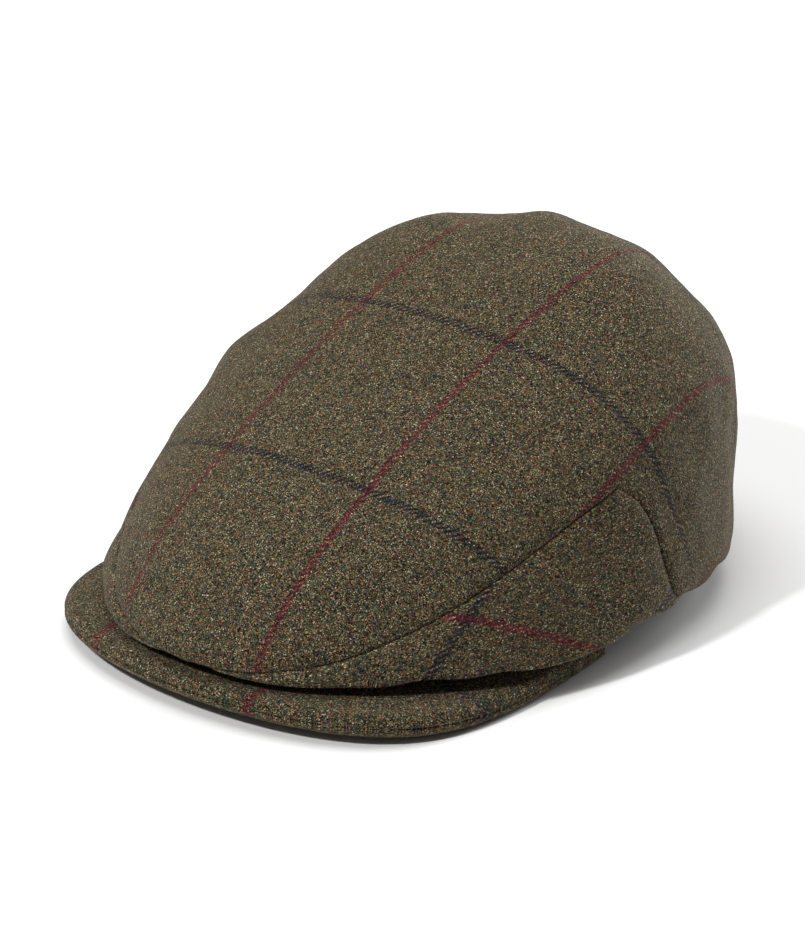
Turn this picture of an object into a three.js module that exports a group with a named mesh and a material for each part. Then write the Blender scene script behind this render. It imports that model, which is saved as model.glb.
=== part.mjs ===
// Tweed flat cap: a top-and-back piece, two side panels, a padded peak, a lining cut like the
// outside, a sweatband with its join tape, and three blank labels.
// Millimetres. +Z is up, -Y is the front (the peak) and +X is the wearer's left.
// The origin is on the surface that the cap lies on, under the middle of its outline.
import * as THREE from 'three';

// ---- Driving dimensions -------------------------------------------------------------------

// The crown is drawn through level rings, from the hem up. A ring is an oval: its front and back
// are y positions, half is its half width, reached at y = wide, and its height differs at the
// front, the side and the back.
const HEM = { front: -90, back: 117, half: 88, wide: 15, zFront: 16, zSide: 12, zBack: -1.5 };
const LIP = { front: -118, back: 118, half: 96, wide: 6, zFront: 16, zSide: 17, zBack: 15, sag: 4 };
const WALL = { front: -102, back: 121, half: 88, wide: 23, zFront: 38, zSide: 54, zBack: 54 };
const SHOULDER = { front: -62, back: 110, half: 80, wide: 35, zFront: 63, zSide: 76, zBack: 84 };
const TOP = { front: -2, back: 80, half: 50, wide: 45, zFront: 89, zSide: 101, zBack: 108 };
const POLE = { y: 31, z: 102 };
const SAG = { deg: 70, spread: 17 };   // where a ring with a sag hangs lower, from the front

const TWEED = 1.8;               // cloth thickness
const LINING = 0.8;
const BAND = 1.2;
const LABEL = 0.5;
const LAYER_GAP = 0.5;           // clear space between two layers
const LABEL_GAP = 2.0;           // clear space between a label and the lining's facets
const SEAM_GAP = 0.7;            // clear space between two panels along a seam
const RING_SPACING = 35;         // about how far apart the crown's rings are

// Where the side panels end, as an angle from the front and a height counted in rings.
const CORNER_DEG = 76;           // where the top seam meets the back seam
const BACK_SEAM_DEG = 101;       // where the back seam meets the hem
const SEAM_CURVE = 1.45;
const PANEL_COLUMNS = 11;        // facets along a side panel
const CROWN_SPLIT = { front: 1.0, corner: 2.3 };
const LINING_SPLIT = { front: 0.3, corner: 1.3 };

const BAND_HEIGHT = { front: 25, side: 26, back: 28 };
const BAND_LEAN = { front: 6, side: 3.5 };
const BAND_SLIT = 2;             // between the band's butted ends
const TAPE = { width: 14, low: 0.03, high: 0.97, thick: 0.8 };   // over the band's butted ends

// Labels. On the band: how far their ends are from the centre back, and shares of its height.
// On the lining: angles from the front, and heights counted in the lining's rings.
const SIZE_LABEL = { from: 24, to: 40, low: 0.15, high: 0.6 };
const MAKER_LABEL = { degrees: [158, 202], rings: [2.75, 3.15] };
const CARE_LABEL = { degrees: [108, 120], rings: [0.95, 1.7] };

const PEAK = {
  half: 86.5, cornerY: -4, length: 117, square: 0.4,   // plan of the outer edge
  thick: 8, cornerThick: 5.4,
  restY: -52,                    // where its sides touch the ground
  tipLift: 4.3, cornerLift: 2.5, // the underside's height at the tip and at the corners
  edgeDrop: 0.42,                // how much lower the edge's middle is than the flat part's
  innerZ: { corner: 7.5, front: 10.8 },   // middle of the thickness at the sewn inner edge
  tuck: 5,                       // how far the inner edge goes under the hem
};
// The flat layers inside the covers, as bottom and top from the middle of the thickness.
const PEAK_LAYERS = { board: [-2.0, -0.4], wadding: [0.0, 2.0] };
const PEAK_LAYER_END = 0.93;     // share of the peak's length that they reach
const PEAK_COVER = 1.6;
const PEAK_SEAM_GAP = 0.5;       // between the two covers at the edge
const PEAK_COLUMNS = 32;         // facets along the peak

const TWEED_GREEN = 0x564c3a;
const MATERIALS = {
  tweed: { color: TWEED_GREEN, roughness: 0.95 },
  lining: { color: 0x4a3a2a, roughness: 0.5 },
  band: { color: 0x2c261d, roughness: 0.8 },
  board: { color: 0xb8ae96, roughness: 0.7 },
  wadding: { color: 0xe6e2d8, roughness: 1.0 },
  label: { color: 0xd8d0bc, roughness: 0.6 },
};

// ---- Curved surfaces ----------------------------------------------------------------------

const rad = THREE.MathUtils.degToRad;

// A value that is front, side and back at 0, 90 and 180 degrees, and smooth between them.
function egg(front, side, back, cos) {
  return side + ((front - back) / 2) * cos + ((front + back) / 2 - side) * cos * cos;
}

// The point of a ring at an angle from the front; 90 degrees is the wearer's left.
function ringPoint(ring, deg) {
  const cos = Math.cos(rad(deg));
  const fromSag = (THREE.MathUtils.radToDeg(Math.acos(cos)) - SAG.deg) / SAG.spread;
  return new THREE.Vector3(
    ring.half * Math.sin(rad(deg)),
    egg(ring.front, ring.wide, ring.back, cos),
    egg(ring.zFront, ring.zSide, ring.zBack, cos) - (ring.sag ?? 0) * Math.exp(-fromSag * fromSag),
  );
}

// A ring moved towards the middle, and down.
function inset(ring, inwards, down) {
  return {
    ...ring,
    front: ring.front + inwards, back: ring.back - inwards, half: ring.half - inwards,
    zFront: ring.zFront - down, zSide: ring.zSide - down, zBack: ring.zBack - down,
  };
}

// A dome through rings and a pole. t counts rings: 0 is the first and the pole is the last.
class Dome {
  constructor(rings, pole) {
    this.rings = rings;
    this.pole = new THREE.Vector3(0, pole.y, pole.z);
    this.tPole = rings.length;
  }

  point(deg, t) {
    const points = this.rings.map((ring) => ringPoint(ring, deg));
    points.push(this.pole, ringPoint(this.rings.at(-1), deg + 180));
    const meridian = new THREE.CatmullRomCurve3(points, false, 'centripetal');
    return meridian.getPoint(t / (points.length - 1));
  }

  normal(deg, t) {
    const nearPole = this.tPole - 0.05;
    if (t > nearPole) {
      const around = [0, 90, 180, 270].map((a) => this.normal(a, nearPole));
      return around.reduce((sum, n) => sum.add(n)).normalize();
    }
    const step = 0.02;
    const low = Math.max(t - step, 0);
    const up = this.point(deg, t + step).sub(this.point(deg, low));
    const round = this.point(deg + 1, t).sub(this.point(deg - 1, t));
    return round.cross(up).normalize();
  }

  // A point this deep under the surface, never below the ground.
  under(deg, t, depth) {
    const p = this.point(deg, t).addScaledVector(this.normal(deg, t), -depth);
    p.z = Math.max(p.z, 0);
    return p;
  }
}

const crown = new Dome([HEM, LIP, WALL, SHOULDER, TOP], POLE);

const FACET_ROOM = 0.3;            // how far a facet's middle may lie off the curve
const LINING_INSET = TWEED + LAYER_GAP + FACET_ROOM;
const lining = new Dome([
  inset(HEM, LINING_INSET, -2.5), inset(WALL, 7, 2), inset(SHOULDER, 5, 4), inset(TOP, 3, 6),
], { y: POLE.y, z: POLE.z - 6 });

const BAND_INSET = LINING_INSET + LINING + 2 * LAYER_GAP;
const bandFoot = inset(HEM, BAND_INSET, -2.5);
const bandTop = {
  ...bandFoot,
  front: bandFoot.front + BAND_LEAN.front,
  back: bandFoot.back - BAND_LEAN.side,
  half: bandFoot.half - BAND_LEAN.side,
  zFront: bandFoot.zFront + BAND_HEIGHT.front,
  zSide: bandFoot.zSide + BAND_HEIGHT.side,
  zBack: bandFoot.zBack + BAND_HEIGHT.back,
};

// ---- Closed sheets ------------------------------------------------------------------------

// A closed body between two grids of points of the same size. wrap joins each row's ends;
// apex means that the last row is one point.
function sheetGeometry(outer, inner, { wrap = false, apex = false } = {}) {
  const position = [];
  const index = [];
  const add = (grid) => grid.map((row) => row.map((p) => position.push(p.x, p.y, p.z) / 3 - 1));
  const quad = (a, b, c, d) => index.push(a, b, c, a, c, d);
  const out = add(outer);
  const back = add(inner);
  const columns = outer[0].length;
  const spans = wrap ? columns : columns - 1;
  const rows = outer.length;
  const fullRows = apex ? rows - 1 : rows;
  for (let j = 0; j < spans; j++) {
    const k = (j + 1) % columns;
    for (let i = 0; i < fullRows - 1; i++) {
      quad(out[i][j], out[i][k], out[i + 1][k], out[i + 1][j]);
      quad(back[i][k], back[i][j], back[i + 1][j], back[i + 1][k]);
    }
    quad(out[0][k], out[0][j], back[0][j], back[0][k]);
    if (apex) {
      index.push(out[rows - 2][j], out[rows - 2][k], out[rows - 1][0]);
      index.push(back[rows - 2][k], back[rows - 2][j], back[rows - 1][0]);
    } else {
      quad(out[rows - 1][j], out[rows - 1][k], back[rows - 1][k], back[rows - 1][j]);
    }
  }
  if (!wrap) {
    for (let i = 0; i < rows - 1; i++) {
      const last = columns - 1;
      quad(out[i][0], out[i + 1][0], back[i + 1][0], back[i][0]);
      quad(out[i + 1][last], out[i][last], back[i][last], back[i + 1][last]);
    }
  }
  return outwardGeometry(position, index);
}

// A geometry whose faces point out: they are all turned over if its volume comes out negative.
function outwardGeometry(position, index) {
  const corner = (i) => new THREE.Vector3().fromArray(position, 3 * i);
  let volume = 0;
  for (let i = 0; i < index.length; i += 3) {
    const [a, b, c] = [0, 1, 2].map((k) => corner(index[i + k]));
    volume += a.dot(b.cross(c)) / 6;
  }
  const geometry = new THREE.BufferGeometry();
  geometry.setAttribute('position', new THREE.Float32BufferAttribute(position, 3));
  geometry.setIndex(volume < 0 ? index.toReversed() : index);
  geometry.computeVertexNormals();
  return geometry;
}

const steps = (count) => Array.from({ length: count + 1 }, (_, i) => i / count);
const mix = THREE.MathUtils.lerp;

const group = new THREE.Group();

function addPart(name, material, geometry) {
  const look = { metalness: 0, ...MATERIALS[material] };
  const mesh = new THREE.Mesh(geometry, new THREE.MeshStandardMaterial(look));
  mesh.name = name;
  group.add(mesh);
  return mesh;
}

// ---- Crown and lining panels --------------------------------------------------------------

// Height of the top seam, in rings, at an angle from the front.
function topSeam(split, deg) {
  return split.front + (split.corner - split.front) * (Math.abs(deg) / CORNER_DEG) ** SEAM_CURVE;
}

// Angle of the back seam at a share v of its height.
const backSeam = (v) => BACK_SEAM_DEG - (BACK_SEAM_DEG - CORNER_DEG) * v * v;

// The top-and-back piece: its edge runs along the top seam, down the back seam and round the hem.
function topPanel(dome, split, thick, rows, seamRows) {
  const edge = [];
  for (const u of steps(2 * PANEL_COLUMNS)) {
    const deg = mix(-CORNER_DEG, CORNER_DEG, u);
    edge.push([deg, topSeam(split, deg)]);
  }
  const seam = steps(seamRows).slice(0, -1).map((v) => [backSeam(v), split.corner * v]);
  edge.push(...seam.toReversed());
  const backSpans = 18;
  for (let i = 1; i < backSpans; i++) {
    edge.push([mix(BACK_SEAM_DEG, 360 - BACK_SEAM_DEG, i / backSpans), 0]);
  }
  edge.push(...seam.map(([deg, t]) => [-deg, t]));
  const grid = (depth) => steps(rows).map((r) => (r === 1
    ? [dome.under(0, dome.tPole, depth)]
    : edge.map(([deg, t]) => dome.under(deg, mix(t, dome.tPole, r), depth))));
  return sheetGeometry(grid(0), grid(thick), { wrap: true, apex: true });
}

// One side panel: side is +1 for the wearer's left and -1 for the right.
function sidePanel(dome, split, thick, rows, side) {
  const halfGap = 0.5 * THREE.MathUtils.radToDeg(SEAM_GAP / HEM.half);
  const ringGap = SEAM_GAP / RING_SPACING;
  const grid = (depth) => steps(rows).map((v) => steps(PANEL_COLUMNS).map((u) => {
    const t = v * (topSeam(split, u * CORNER_DEG) - ringGap);
    const deg = mix(halfGap, backSeam(v) - 3 * halfGap, u);
    return dome.under(side * deg, t, depth);
  }));
  return sheetGeometry(grid(0), grid(thick));
}

addPart('crown_top', 'tweed', topPanel(crown, CROWN_SPLIT, TWEED, 9, 8));
addPart('side_panel_left', 'tweed', sidePanel(crown, CROWN_SPLIT, TWEED, 8, 1));
addPart('side_panel_right', 'tweed', sidePanel(crown, CROWN_SPLIT, TWEED, 8, -1));
addPart('lining_top', 'lining', topPanel(lining, LINING_SPLIT, LINING, 9, 4));
addPart('lining_side_left', 'lining', sidePanel(lining, LINING_SPLIT, LINING, 4, 1));
addPart('lining_side_right', 'lining', sidePanel(lining, LINING_SPLIT, LINING, 4, -1));

// ---- Sweatband and what is sewn to it -----------------------------------------------------

// A patch of the band: from and to are angles, low and high are shares of its height, and depth
// is how far its outer face lies inside the band's outer face.
function bandPatch([from, to], [low, high], depth, thick, columns) {
  const grid = (d) => [low, high].map((h) => steps(columns).map((u) => {
    const deg = mix(from, to, u);
    const foot = ringPoint(inset(bandFoot, d, 0), deg);
    return foot.lerp(ringPoint(inset(bandTop, d, 0), deg), h);
  }));
  return sheetGeometry(grid(depth), grid(depth + thick));
}

// The angle that a width takes at the centre back.
const backAngle = (width) => THREE.MathUtils.radToDeg(width / bandFoot.half);

const halfSlit = backAngle(BAND_SLIT) / 2;
const halfTape = backAngle(TAPE.width) / 2;
const onBand = BAND + LAYER_GAP;
addPart('sweatband', 'band', bandPatch([180 + halfSlit, 540 - halfSlit], [0, 1], 0, BAND, 56));
addPart('sweatband_join_tape', 'band',
  bandPatch([180 - halfTape, 180 + halfTape], [TAPE.low, TAPE.high], onBand, TAPE.thick, 3));
const sizeLabelEnds = [180 + backAngle(SIZE_LABEL.from), 180 + backAngle(SIZE_LABEL.to)];
addPart('size_label', 'label',
  bandPatch(sizeLabelEnds, [SIZE_LABEL.low, SIZE_LABEL.high], onBand, LABEL, 3));

// ---- Labels on the lining -----------------------------------------------------------------

// A patch of the lining's inside, between two angles and two heights counted in rings.
function liningPatch({ degrees: [from, to], rings: [low, high] }, columns, rows) {
  const grid = (depth) => steps(rows).map((v) => steps(columns).map((u) => (
    lining.under(mix(from, to, u), mix(low, high, v), depth))));
  const face = LINING + LABEL_GAP;
  return sheetGeometry(grid(face), grid(face + LABEL));
}

addPart('maker_label', 'label', liningPatch(MAKER_LABEL, 6, 3));
addPart('care_label', 'label', liningPatch(CARE_LABEL, 3, 4));

// ---- Peak ---------------------------------------------------------------------------------

// A place s along the peak runs from -1, the right corner, to +1, the left one.
// The edge's plan angle at s: the places crowd towards the corners, where the edge turns most.
const edgeAngle = (s) => 90 * Math.sign(s) * (1 - (1 - Math.abs(s)) ** 2);

const peakHalf = (s) => mix(PEAK.thick, PEAK.cornerThick, s ** 8) / 2;

// Height of the underside above the ground, which it touches at restY.
function peakLift(y) {
  const tipY = PEAK.cornerY - PEAK.length;
  const forward = Math.max(PEAK.restY - y, 0) / (PEAK.restY - tipY);
  const rearward = Math.max(y - PEAK.restY, 0) / (PEAK.cornerY - PEAK.restY);
  return PEAK.tipLift * forward ** 1.5 + PEAK.cornerLift * rearward ** 2;
}

function peakOuter(s) {
  const a = rad(edgeAngle(s));
  const y = PEAK.cornerY - PEAK.length * Math.cos(a) ** PEAK.square;
  const z = peakLift(y) + peakHalf(s) - PEAK.edgeDrop;
  return new THREE.Vector3(PEAK.half * Math.sin(a), y, z);
}

function peakInner(s) {
  const ring = inset(HEM, PEAK.tuck, 0);
  const cornerDeg = THREE.MathUtils.radToDeg(
    Math.acos((ring.wide - PEAK.cornerY) / (ring.wide - ring.front)));
  const p = ringPoint(ring, s * cornerDeg);
  p.z = mix(PEAK.innerZ.front, PEAK.innerZ.corner, s * s);
  return p;
}

// A point of the peak, so far in from its outer edge. Its height counts from the middle of the
// thickness, which rises ever faster towards the inner edge, and shrinks towards the corners.
function peakPoint(s, inFromEdge, height) {
  const outer = peakOuter(s);
  const inner = peakInner(s);
  const share = inFromEdge / inner.distanceTo(outer);
  const p = outer.clone().lerp(inner, share);
  p.z = mix(outer.z, inner.z, Math.max(share, 0) ** 1.5);
  p.z += height * (peakHalf(s) / peakHalf(0));
  return p;
}

const peakWidth = (s) => peakInner(s).distanceTo(peakOuter(s));
const peakPlaces = (end) => steps(PEAK_COLUMNS).map((u) => end * (2 * u - 1));

// One cover: flat from the inner edge, then round to the seam at the middle of the edge.
function peakCover(side) {
  const places = peakPlaces(0.985);
  const centre = peakHalf(0);              // the edge is round about this far in
  const skin = (half) => {
    const last = Math.acos(PEAK_SEAM_GAP / 2 / half);
    const flat = [1, 0.6, 0.25].map((share) => (s) => (
      peakPoint(s, mix(centre, peakWidth(s), share), side * half)));
    const round = steps(4).map((u) => (s) => (
      peakPoint(s, centre - half * Math.sin(u * last), side * half * Math.cos(u * last))));
    return [...flat, ...round].map((at) => places.map(at));
  };
  return sheetGeometry(skin(centre), skin(centre - PEAK_COVER));
}

// A flat layer inside the covers.
function peakLayer([bottom, top]) {
  const rim = peakHalf(0) + 0.5;
  const skin = (height) => [1, 0.6, 0.25, 0].map((share) => peakPlaces(PEAK_LAYER_END).map((s) => (
    peakPoint(s, mix(rim, peakWidth(s), share), height))));
  return sheetGeometry(skin(top), skin(bottom));
}

addPart('peak_cover_top', 'tweed', peakCover(1));
addPart('peak_wadding', 'wadding', peakLayer(PEAK_LAYERS.wadding));
addPart('peak_board', 'board', peakLayer(PEAK_LAYERS.board));
addPart('peak_cover_under', 'tweed', peakCover(-1));

export default group;
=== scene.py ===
"""Looks of the tweed flat cap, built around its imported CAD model.

Every soft CAD node that can be seen is replaced by a detailed piece made here: the tweed panels
and the padded peak, the satin lining, the ribbed sweatband with its tape and the blank labels.
The peak's turned-up seam allowance and the stitching are added. A cloth simulation settles the crown.
Shapes are worked out in millimetres in the row frame (+Z up, -Y the peak, +X the wearer's left)
and turned into metres when a mesh is made.
"""
import math

import bpy
import numpy as np
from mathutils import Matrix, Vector
from mathutils.bvhtree import BVHTree


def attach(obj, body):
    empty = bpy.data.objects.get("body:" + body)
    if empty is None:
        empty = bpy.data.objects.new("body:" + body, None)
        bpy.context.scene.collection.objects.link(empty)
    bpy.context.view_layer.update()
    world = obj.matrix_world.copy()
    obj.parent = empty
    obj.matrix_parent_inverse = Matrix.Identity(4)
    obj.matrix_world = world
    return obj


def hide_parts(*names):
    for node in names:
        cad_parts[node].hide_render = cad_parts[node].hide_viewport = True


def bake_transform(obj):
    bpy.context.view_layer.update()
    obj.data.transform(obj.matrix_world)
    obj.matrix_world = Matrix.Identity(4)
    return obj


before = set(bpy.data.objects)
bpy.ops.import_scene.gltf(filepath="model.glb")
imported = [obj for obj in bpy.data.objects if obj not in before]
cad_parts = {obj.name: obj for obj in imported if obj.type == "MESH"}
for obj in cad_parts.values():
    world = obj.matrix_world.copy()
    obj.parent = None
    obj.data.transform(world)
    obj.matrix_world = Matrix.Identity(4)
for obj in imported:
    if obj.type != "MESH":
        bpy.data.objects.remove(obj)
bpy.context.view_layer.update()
MM = 0.001


# ---- Camera

CAMERA_AZIMUTH = math.radians(38.9)
CAMERA_ELEVATION = math.radians(23.6)
CAMERA_DISTANCE = 1.56
CAMERA_TARGET = np.array([0.0, 0.015, 0.045])
CAMERA_LENS = 177.5
CAMERA_SHIFT = (-0.0448, -0.0252)


def make_camera():
    data = bpy.data.cameras.new("camera")
    data.lens = CAMERA_LENS
    data.shift_x, data.shift_y = CAMERA_SHIFT
    data.clip_start, data.clip_end = 0.05, 20
    camera = bpy.data.objects.new("camera", data)
    across = math.cos(CAMERA_ELEVATION)
    back = np.array([math.sin(CAMERA_AZIMUTH) * across, -math.cos(CAMERA_AZIMUTH) * across,
                     math.sin(CAMERA_ELEVATION)])
    camera.location = CAMERA_TARGET + back * CAMERA_DISTANCE
    camera.rotation_euler = (math.pi / 2 - CAMERA_ELEVATION, 0, CAMERA_AZIMUTH)
    bpy.context.scene.collection.objects.link(camera)
    bpy.context.scene.camera = camera


make_camera()


# ---- The cap's dimensions, as its CAD source has them

# A ring is a level oval: its front and back are y positions, half is its half width, reached at
# y = wide, and z holds its heights at the front, the side and the back.
HEM = {"front": -90, "back": 117, "half": 88, "wide": 15, "z": (16, 12, -1.5)}
LIP = {"front": -118, "back": 118, "half": 96, "wide": 6, "z": (16, 17, 15), "sag": 4}
WALL = {"front": -102, "back": 121, "half": 88, "wide": 23, "z": (38, 54, 54)}
SHOULDER = {"front": -62, "back": 110, "half": 80, "wide": 35, "z": (63, 76, 84)}
TOP = {"front": -2, "back": 80, "half": 50, "wide": 45, "z": (89, 101, 108)}
POLE = np.array([0, 31, 102.0])
SAG = {"deg": 70, "spread": 17}  # where a ring with a sag hangs lower, from the front

TWEED = 1.8
LINING = 0.8
BAND = 1.2
LABEL = 0.5
LINING_INSET = 2.6
LINING_GAPS = {"wall": (7, 2), "shoulder": (5, 4), "top": (3, 6)}   # inwards and down, from the crown
BAND_INSET = 4.4
INSIDE_RISE = 2.5                # how far the lining and the band start above the hem
BAND_HEIGHT = (25, 26, 28)
BAND_LEAN = {"front": 6, "side": 3.5}
BAND_SLIT = 2
SLACK = 0.25                     # how far the crown's cloth lies off a perfectly smooth dome

CORNER_DEG = 76
BACK_SEAM_DEG = 101
SEAM_CURVE = 1.45
CROWN_SPLIT = (1.0, 2.3)
LINING_SPLIT = (0.3, 1.3)

PEAK = {"half": 86.5, "corner_y": -4, "length": 117, "square": 0.4, "thick": 8, "corner_thick": 5.4,
        "rest_y": -52, "tip_lift": 4.3, "corner_lift": 2.5, "edge_drop": 0.42,
        "inner_corner_z": 7.5, "inner_front_z": 10.8, "tuck": 5, "cover": 1.6}


# ---- Curved surfaces

def mix(a, b, share):
    return a + (b - a) * share


def unit(vectors):
    return vectors / np.maximum(np.linalg.norm(vectors, axis=-1, keepdims=True), 1e-12)


def egg(front, side, back, cos):
    return side + (front - back) / 2 * cos + ((front + back) / 2 - side) * cos ** 2


def ring_point(ring, deg):
    cos, sin = np.cos(np.radians(deg)), np.sin(np.radians(deg))
    y = egg(ring["front"], ring["wide"], ring["back"], cos)
    from_sag = (np.degrees(np.arccos(np.clip(cos, -1, 1))) - SAG["deg"]) / SAG["spread"]
    z = egg(*ring["z"], cos) - ring.get("sag", 0) * np.exp(-from_sag ** 2)
    return np.stack([ring["half"] * sin, y, z], -1)


def inset(ring, inwards, down):
    """A ring moved towards the middle, and down."""
    return {"front": ring["front"] + inwards, "back": ring["back"] - inwards,
            "half": ring["half"] - inwards, "wide": ring["wide"],
            "z": tuple(z - down for z in ring["z"])}


class Dome:
    """A dome through rings and a pole. t counts rings: 0 is the first and the pole is the last."""

    def __init__(self, rings, pole):
        self.rings = rings
        self.pole = pole
        self.t_pole = len(rings)

    def point(self, deg, t):
        deg, t = np.broadcast_arrays(np.asarray(deg, float), np.asarray(t, float))
        knots = [ring_point(ring, deg) for ring in self.rings]
        knots = [2 * knots[0] - knots[1], *knots, np.broadcast_to(self.pole, deg.shape + (3,)),
                 ring_point(self.rings[-1], deg + 180)]
        knots = np.stack(knots)
        span = np.clip(np.floor(t).astype(int), 0, self.t_pole - 1)
        x0, x1, x2, x3 = (np.take_along_axis(knots, (span + k)[None, ..., None], 0)[0]
                          for k in range(4))
        d0, d1, d2 = (np.sqrt(np.linalg.norm(b - a, axis=-1, keepdims=True))
                      for a, b in ((x0, x1), (x1, x2), (x2, x3)))
        t1 = ((x1 - x0) / d0 - (x2 - x0) / (d0 + d1) + (x2 - x1) / d1) * d1
        t2 = ((x2 - x1) / d1 - (x3 - x1) / (d1 + d2) + (x3 - x2) / d2) * d1
        w = (t - span)[..., None]
        square = -3 * x1 + 3 * x2 - 2 * t1 - t2
        cube = 2 * x1 - 2 * x2 + t1 + t2
        return x1 + t1 * w + square * w ** 2 + cube * w ** 3

    def normal(self, deg, t):
        step = 0.02
        low, high = np.maximum(t - step, 0), np.minimum(t + step, self.t_pole - step)
        up = self.point(deg, high) - self.point(deg, np.minimum(low, high - step))
        around = self.point(deg + 1, np.minimum(t, self.t_pole - step))
        around = around - self.point(deg - 1, np.minimum(t, self.t_pole - step))
        return unit(np.cross(around, up))


crown = Dome([HEM, LIP, WALL, SHOULDER, TOP], POLE)
lining = Dome([inset(HEM, LINING_INSET, -INSIDE_RISE), inset(WALL, *LINING_GAPS["wall"]),
               inset(SHOULDER, *LINING_GAPS["shoulder"]), inset(TOP, *LINING_GAPS["top"])],
              POLE - np.array([0, 0, LINING_GAPS["top"][1]]))


def top_seam(split, deg):
    """Height of the top seam, in rings, at an angle from the front."""
    return split[0] + (split[1] - split[0]) * (np.abs(deg) / CORNER_DEG) ** SEAM_CURVE


def back_seam(v):
    """Angle of the back seam at a share v of its height."""
    return BACK_SEAM_DEG - (BACK_SEAM_DEG - CORNER_DEG) * v ** 2


# Soft dents and swellings of the crown's cloth: a place, a radius and a height.
RELIEF = [
    ((-77, -2, 66), 11, 1.7), ((-75, 24, 79), 15, -2.2), ((-73, -70, 27), 12, -1.3),
    ((-30, 73, 107), 13, -2.2), ((-8, 84, 107), 9, 1.6), ((28, 90, 100), 10, 0.7),
    ((42, 95, 89), 11, -1.2), ((77, 78, 33), 16, -2.1), ((80, 66, 14), 9, 1.0),
]


def relief(points):
    height = 0
    for place, radius, rise in RELIEF:
        far = ((points - np.array(place)) ** 2).sum(-1) / radius ** 2
        height = height + rise * np.exp(-far)
    x, y, z = points.T
    slack = np.sin(x / 19 + y / 31 + 0.4) * np.sin(y / 23 - z / 37) + np.sin(x / 13 - y / 41 + 2)
    return height + SLACK * slack


# ---- Meshes

def make_mesh(name, points, faces, uv=None):
    """A smooth-shaded piece from points in millimetres; uv, in millimetres too, is its cloth's
    own plane."""
    mesh = bpy.data.meshes.new(name)
    mesh.from_pydata((np.asarray(points) * MM).tolist(), [], [list(map(int, f)) for f in faces])
    mesh.polygons.foreach_set("use_smooth", [True] * len(mesh.polygons))
    if uv is not None:
        corner = np.zeros(len(mesh.loops), int)
        mesh.loops.foreach_get("vertex_index", corner)
        layer = mesh.uv_layers.new(name="cloth")
        layer.data.foreach_set("uv", np.asarray(uv, np.float32)[corner].ravel())
    mesh.update()
    piece = bpy.data.objects.new(name, mesh)
    bpy.context.scene.collection.objects.link(piece)
    return piece


# ---- How the crown's cloth settles

SETTLE_FRAMES = 24
SETTLE_DEGREES = np.arange(0, 360, 4.5)
SETTLE_HEIGHTS = np.linspace(0, crown.t_pole - 0.1, 40)
SETTLE_HELD = 0.5                # below this height the hem holds the cloth fast
SETTLE_HOLD = 0.35               # how firmly it is held above, where 1 is fast
SETTLE_SLACK = 0.02              # how much larger the cloth is than the dome
SETTLE_CAP = 1.1                 # the furthest that settling moves the cloth, in millimetres


def settle():
    """How far the crown's cloth moves, by height and angle: a cloth simulation of one sheet, a
    little larger than the dome, that sinks and buckles under its own weight."""
    deg, t = np.meshgrid(SETTLE_DEGREES, SETTLE_HEIGHTS)
    start = crown.point(deg, t)
    number = np.arange(deg.size).reshape(deg.shape)
    after = np.roll(number, -1, 1)
    quads = np.stack([number[:-1], after[:-1], after[1:], number[1:]], -1).reshape(-1, 4)
    sheet = make_mesh("settling_sheet", start.reshape(-1, 3), [*quads, number[-1]])
    held = sheet.vertex_groups.new(name="held")
    low = SETTLE_HEIGHTS < SETTLE_HELD
    held.add(number[low].ravel().tolist(), 1.0, "REPLACE")
    held.add(number[~low].ravel().tolist(), SETTLE_HOLD, "REPLACE")
    cloth = sheet.modifiers.new("cloth", "CLOTH").settings
    cloth.quality = 6
    cloth.mass = 0.3
    cloth.tension_stiffness = cloth.compression_stiffness = 30
    cloth.shear_stiffness = 15
    cloth.bending_stiffness = 0.6
    cloth.vertex_group_mass = "held"
    cloth.shrink_min = -SETTLE_SLACK
    for step in range(1, SETTLE_FRAMES + 1):
        bpy.context.scene.frame_set(step)
    settled = sheet.evaluated_get(bpy.context.evaluated_depsgraph_get()).data
    places = np.zeros(3 * deg.size)
    settled.vertices.foreach_get("co", places)
    bpy.context.scene.frame_set(1)
    bpy.data.meshes.remove(sheet.data)
    move = places.reshape(start.shape) / MM - start
    far = np.linalg.norm(move, axis=-1, keepdims=True)
    return move * np.minimum(1, SETTLE_CAP / np.maximum(far, 1e-9))


def spline_weights(w):
    return ((1 - w) ** 3 / 6, (3 * w ** 3 - 6 * w ** 2 + 4) / 6,
            (-3 * w ** 3 + 3 * w ** 2 + 3 * w + 1) / 6, w ** 3 / 6)


def settled_move(field, deg, t):
    """The field of moves at other angles and heights, by a smooth spline."""
    rows, around = field.shape[:2]
    x = (deg % 360) / (360 / around)
    y = np.clip(t / SETTLE_HEIGHTS[-1], 0, 1) * (rows - 1)
    i, j = np.floor(x).astype(int), np.floor(y).astype(int)
    total = np.zeros(deg.shape + (3,))
    for m, across in enumerate(spline_weights(x - i), -1):
        for n, up in enumerate(spline_weights(y - j), -1):
            total += (across * up)[..., None] * field[np.clip(j + n, 0, rows - 1),
                                                      (i + m) % around]
    return total


SETTLED = settle()


# ---- Grids of a panel

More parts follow.
